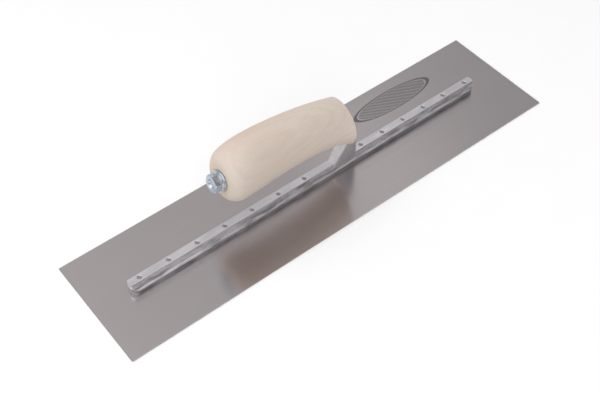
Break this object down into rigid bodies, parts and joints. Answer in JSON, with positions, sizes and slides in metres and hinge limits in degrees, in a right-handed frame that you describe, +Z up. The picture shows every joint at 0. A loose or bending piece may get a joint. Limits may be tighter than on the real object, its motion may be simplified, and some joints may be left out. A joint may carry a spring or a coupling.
{
  "type": "finishing trowel",
  "caption": "Steel finishing trowel: flat rectangular blade riveted to an aluminium mounting bar, with a cast shank and an arched wooden handle held by a hex bolt.",
  "frame": {"origin": "centre of the blade's underside", "axes": "+X along the blade towards the end where the shank stands, +Y across the blade, +Z up through the handle"},
  "size_m": [0.4064, 0.1016, 0.0879],
  "materials": {
    "blade_steel": "ground satin, faint lengthwise streaks",
    "bar_aluminium": "extruded, top linished bright",
    "shank_aluminium": "cast and polished",
    "handle_wood": "sanded pale wood, unvarnished",
    "zinc_steel": "bright zinc plate",
    "rivet_metal": "ground flush",
    "screw_steel": "plain steel"
  },
  "bodies": {
    "root": {"blade": "blade_steel", "mounting_bar": "bar_aluminium", "shank": "shank_aluminium", "handle": "handle_wood", "handle_bolt": "zinc_steel", "handle_washer": "zinc_steel", "blade_rivets": "rivet_metal", "shank_screws": "screw_steel"}
  },
  "joints": []
}
